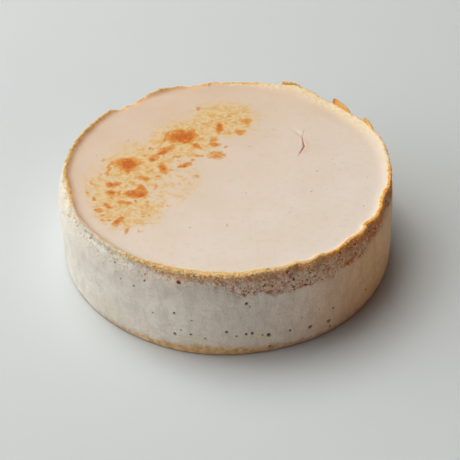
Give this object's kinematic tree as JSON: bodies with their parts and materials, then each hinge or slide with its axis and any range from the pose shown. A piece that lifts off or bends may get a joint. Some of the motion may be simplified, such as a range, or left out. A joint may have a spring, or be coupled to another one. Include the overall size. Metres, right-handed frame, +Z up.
{
  "type": "baked cheesecake",
  "caption": "Whole low round baked cheesecake with a smooth pale pink top, scorch marks on one side of it and a raised, browned, crumbly rim; rests flat on a plate or board.",
  "frame": {"origin": "centre of the flat underside", "axes": "+Z up through the top, -Y towards the front of the cake, +X to the right as seen from the front"},
  "size_m": [0.1501, 0.15, 0.0444],
  "materials": {
    "baked_filling": "pale pink baked cream cheese filling, matte, with a browned orange rim, a porous brown band under it and brown scorch marks on the top"
  },
  "bodies": {
    "root": {"cheesecake": "baked_filling"}
  },
  "joints": []
}
